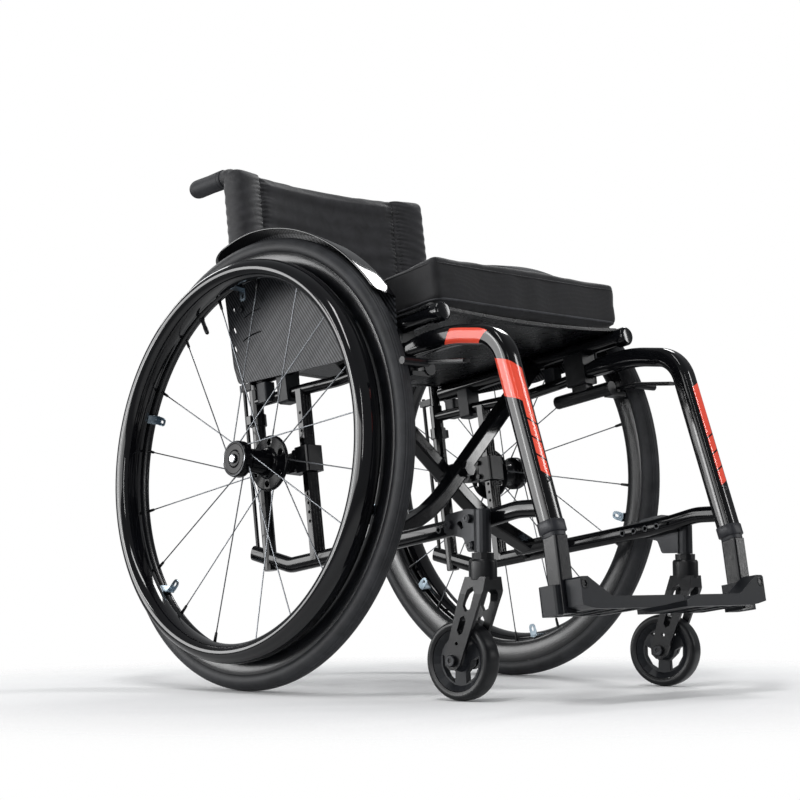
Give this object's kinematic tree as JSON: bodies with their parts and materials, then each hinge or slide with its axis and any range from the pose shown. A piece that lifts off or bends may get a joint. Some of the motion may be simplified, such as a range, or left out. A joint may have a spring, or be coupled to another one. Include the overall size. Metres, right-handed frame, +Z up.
{
  "type": "folding active wheelchair",
  "caption": "Cross-braced folding wheelchair with cambered quick-release wheels, side guards, casters, brakes and flip-up half footplates.",
  "frame": {"origin": "on the floor, at the middle of the chair's outline", "axes": "+Z up, the chair faces -Y, its own right side is at -X"},
  "size_m": [0.5818, 0.8028, 0.7159],
  "materials": {
    "frame": "gloss black powder coat",
    "rims": "gloss black",
    "satin_black": "satin black",
    "bracket": "satin dark metal",
    "silver": "bright turned metal",
    "foot_tube": "bright extruded metal",
    "plastic": "moulded dark grey plastic",
    "tyre": "dark rubber with fine ribs",
    "caster_tyre": "smooth dark rubber",
    "grip": "soft grey rubber",
    "guard": "woven carbon look",
    "back_fabric": "dark grey nylon with puckered seams",
    "cushion_fabric": "black stretch fabric with piping",
    "sling_fabric": "coated black nylon"
  },
  "bodies": {
    "frame_right": {"axle_right": "silver", "axle_mount_right": "satin_black", "front_tube_right": "frame", "lower_tube_right": "frame", "axle_tube_right": "frame", "rear_post_right": "frame", "back_tube_right": "frame", "grip_right": "grip", "stay_rod_right": "satin_black", "seat_saddle_right": "plastic", "brake_mount_right": "satin_black", "brace_hinge_right": "satin_black", "side_guard_right": "guard", "caster_bracket_right": "bracket", "footrest_tube_right": "foot_tube", "foot_clamp_right": "plastic", "back_upholstery": "back_fabric"},
    "brace_a": {"cross_brace_a": "frame", "seat_rail_left": "frame"},
    "brace_b": {"cross_brace_b": "frame", "seat_rail_right": "frame", "seat_sling": "sling_fabric", "cushion": "cushion_fabric"},
    "frame_left": {"axle_left": "silver", "axle_mount_left": "satin_black", "front_tube_left": "frame", "lower_tube_left": "frame", "axle_tube_left": "frame", "rear_post_left": "frame", "back_tube_left": "frame", "grip_left": "grip", "stay_rod_left": "satin_black", "seat_saddle_left": "plastic", "brake_mount_left": "satin_black", "brace_hinge_left": "satin_black", "side_guard_left": "guard", "caster_bracket_left": "bracket", "footrest_tube_left": "foot_tube", "foot_clamp_left": "plastic"},
    "footrest_right": {"footplate_right": "plastic"},
    "wheel_right": {"tyre_right": "tyre", "rim_right": "rims", "handrim_right": "rims", "hub_right": "rims"},
    "button_right": {"release_button_right": "silver"},
    "caster_right": {"fork_right": "satin_black"},
    "caster_wheel_right": {"caster_tyre_right": "caster_tyre", "caster_core_right": "satin_black"},
    "brake_right": {"brake_lever_right": "satin_black"},
    "footrest_left": {"footplate_left": "plastic"},
    "wheel_left": {"tyre_left": "tyre", "rim_left": "rims", "handrim_left": "rims", "hub_left": "rims"},
    "button_left": {"release_button_left": "silver"},
    "caster_left": {"fork_left": "satin_black"},
    "caster_wheel_left": {"caster_tyre_left": "caster_tyre", "caster_core_left": "satin_black"},
    "brake_left": {"brake_lever_left": "satin_black"}
  },
  "joints": [
    {"name": "fold", "type": "hinge", "parent": "frame_right", "child": "brace_a", "pos_m": [-0.15, -0.05384, 0.18875], "axis": [0, -0.9903, 0.1392], "range_deg": [0, 38], "deforming": ["cushion", "seat_sling", "back_upholstery"]},
    {"name": "fold_cross", "type": "hinge", "parent": "brace_a", "child": "brace_b", "pos_m": [0, -0.01131, 0.27941], "axis": [0, -0.9903, 0.1392], "range_deg": [-76, 0]},
    {"name": "fold_left", "type": "hinge", "parent": "brace_b", "child": "frame_left", "pos_m": [0.15, -0.02463, 0.18464], "axis": [0, -0.9903, 0.1392], "range_deg": [0, 38]},
    {"name": "footplate_flip_right", "type": "hinge", "parent": "frame_right", "child": "footrest_right", "pos_m": [-0.1645, -0.37687, 0.13215], "axis": [0, -0.9903, 0.1392], "range_deg": [0, 88]},
    {"name": "wheel_spin_right", "type": "hinge", "parent": "frame_right", "child": "wheel_right", "pos_m": [-0.229, 0.10643, 0.29447], "axis": [-0.9981, 0, 0.061], "continuous": true},
    {"name": "release_press_right", "type": "slide", "parent": "frame_right", "child": "button_right", "axis": [0.9981, 0, -0.061], "range_m": [0, 0.0035], "stiffness_N_per_m": 300},
    {"name": "caster_swivel_right", "type": "hinge", "parent": "frame_right", "child": "caster_right", "pos_m": [-0.1885, -0.26347, 0.19], "axis": [0, 0, 1], "continuous": true},
    {"name": "caster_roll_right", "type": "hinge", "parent": "caster_right", "child": "caster_wheel_right", "pos_m": [-0.19173, -0.23244, 0.0466], "axis": [0.9946, 0.1037, 0], "continuous": true},
    {"name": "brake_swing_right", "type": "hinge", "parent": "frame_right", "child": "brake_right", "pos_m": [-0.193, -0.15204, 0.39543], "axis": [0, -0.1392, -0.9903], "range_deg": [0, 12]},
    {"name": "footplate_flip_left", "type": "hinge", "parent": "frame_left", "child": "footrest_left", "pos_m": [0.1645, -0.37687, 0.13215], "axis": [0, -0.9903, 0.1392], "range_deg": [-58, 0]},
    {"name": "wheel_spin_left", "type": "hinge", "parent": "frame_left", "child": "wheel_left", "pos_m": [0.229, 0.10643, 0.29447], "axis": [0.9981, 0, 0.061], "continuous": true},
    {"name": "release_press_left", "type": "slide", "parent": "frame_left", "child": "button_left", "axis": [-0.9981, 0, -0.061], "range_m": [0, 0.0035], "stiffness_N_per_m": 300},
    {"name": "caster_swivel_left", "type": "hinge", "parent": "frame_left", "child": "caster_left", "pos_m": [0.1885, -0.26347, 0.19], "axis": [0, 0, 1], "continuous": true},
    {"name": "caster_roll_left", "type": "hinge", "parent": "caster_left", "child": "caster_wheel_left", "pos_m": [0.18103, -0.23318, 0.0466], "axis": [0.9709, 0.2394, 0], "continuous": true},
    {"name": "brake_swing_left", "type": "hinge", "parent": "frame_left", "child": "brake_left", "pos_m": [0.193, -0.15204, 0.39543], "axis": [0, 0.1392, 0.9903], "range_deg": [0, 12]}
  ],
  "couplings": [
    {"joint": "fold_cross", "follows": "fold", "ratio": -2},
    {"joint": "fold_left", "follows": "fold", "ratio": 1},
    {"joint": "footplate_flip_right", "follows": "fold", "ratio": 2.3},
    {"joint": "footplate_flip_left", "follows": "fold", "ratio": -1.5}
  ]
}
